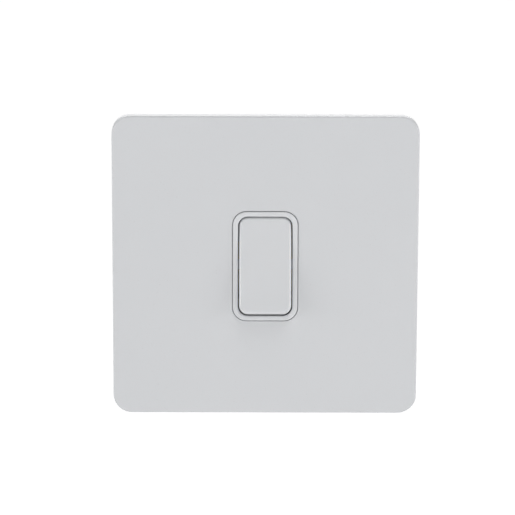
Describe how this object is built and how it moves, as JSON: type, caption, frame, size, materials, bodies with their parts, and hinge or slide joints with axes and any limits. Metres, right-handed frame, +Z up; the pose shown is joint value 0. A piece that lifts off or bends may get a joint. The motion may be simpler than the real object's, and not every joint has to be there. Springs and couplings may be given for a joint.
{
  "type": "rocker wall switch",
  "caption": "Square flush wall switch with a tall narrow rocker in a rounded collar and a clip-on screwless cover plate.",
  "frame": {"origin": "centre of the plate on the wall plane, midway between the two fixing screws", "axes": "+X to the right seen from the front, +Z up, -Y towards the viewer and +Y into the wall"},
  "size_m": [0.088, 0.0299, 0.088],
  "materials": {
    "plate_paint": "satin white paint on pressed steel",
    "white_moulding": "white urea moulding, low sheen",
    "frame_plastic": "light grey fixing frame and liner",
    "housing_plastic": "white flame-retardant housing",
    "nose_plastic": "natural acetal plunger",
    "spring_steel": "bright stainless spring",
    "zinc_steel": "bright zinc plated screws",
    "terminal_brass": "machined and drawn brass",
    "bronze": "phosphor bronze strip",
    "contact_silver": "silver alloy contact rivets"
  },
  "bodies": {
    "base": {"mounting_frame": "frame_plastic", "plate_clips": "spring_steel", "fixing_screws": "zinc_steel", "earth_block": "terminal_brass", "earth_spring": "bronze", "switch_cover": "white_moulding", "switch_housing": "housing_plastic", "housing_screws": "zinc_steel", "common_bracket": "terminal_brass", "fixed_contact_l1": "terminal_brass", "fixed_contact_l2": "terminal_brass", "fixed_contact_tips": "contact_silver", "terminal_block_common": "terminal_brass", "terminal_block_l1": "terminal_brass", "terminal_block_l2": "terminal_brass"},
    "front_plate_body": {"front_plate": "plate_paint", "plate_liner": "frame_plastic"},
    "rocker_body": {"rocker": "white_moulding", "plunger_spring": "spring_steel"},
    "plunger_body": {"plunger": "nose_plastic"},
    "contact_body": {"moving_contact": "terminal_brass", "moving_contact_tips": "contact_silver"},
    "screw_common_body": {"terminal_screw_common": "zinc_steel"},
    "screw_l1_body": {"terminal_screw_l1": "zinc_steel"},
    "screw_l2_body": {"terminal_screw_l2": "zinc_steel"},
    "earth_screw_body": {"earth_screw": "zinc_steel"}
  },
  "joints": [
    {"name": "rocker_tilt", "type": "hinge", "parent": "base", "child": "rocker_body", "pos_m": [0, -0.0005, 0], "axis": [1, 0, 0], "range_deg": [0, 15]},
    {"name": "plunger_slide", "type": "slide", "parent": "rocker_body", "child": "plunger_body", "axis": [0, 0.9914, -0.1305], "range_m": [-0.0015, 0], "stiffness_N_per_m": 400, "deforming": ["plunger_spring"]},
    {"name": "contact_tilt", "type": "hinge", "parent": "base", "child": "contact_body", "pos_m": [0, 0.015, 0], "axis": [1, 0, 0], "range_deg": [-18, 0]},
    {"name": "front_plate_pull", "type": "slide", "parent": "base", "child": "front_plate_body", "axis": [0, -1, 0], "range_m": [0, 0.014], "deforming": ["plate_clips"]},
    {"name": "terminal_screw_common_slide", "type": "slide", "parent": "base", "child": "screw_common_body", "axis": [0, -1, 0], "range_m": [0, 0.003]},
    {"name": "terminal_screw_l1_slide", "type": "slide", "parent": "base", "child": "screw_l1_body", "axis": [0, -1, 0], "range_m": [0, 0.003]},
    {"name": "terminal_screw_l2_slide", "type": "slide", "parent": "base", "child": "screw_l2_body", "axis": [0, -1, 0], "range_m": [0, 0.003]},
    {"name": "earth_screw_slide", "type": "slide", "parent": "base", "child": "earth_screw_body", "axis": [0, -1, 0], "range_m": [0, 0.0025]}
  ],
  "couplings": [
    {"joint": "contact_tilt", "follows": "rocker_tilt", "ratio": -1.2}
  ]
}
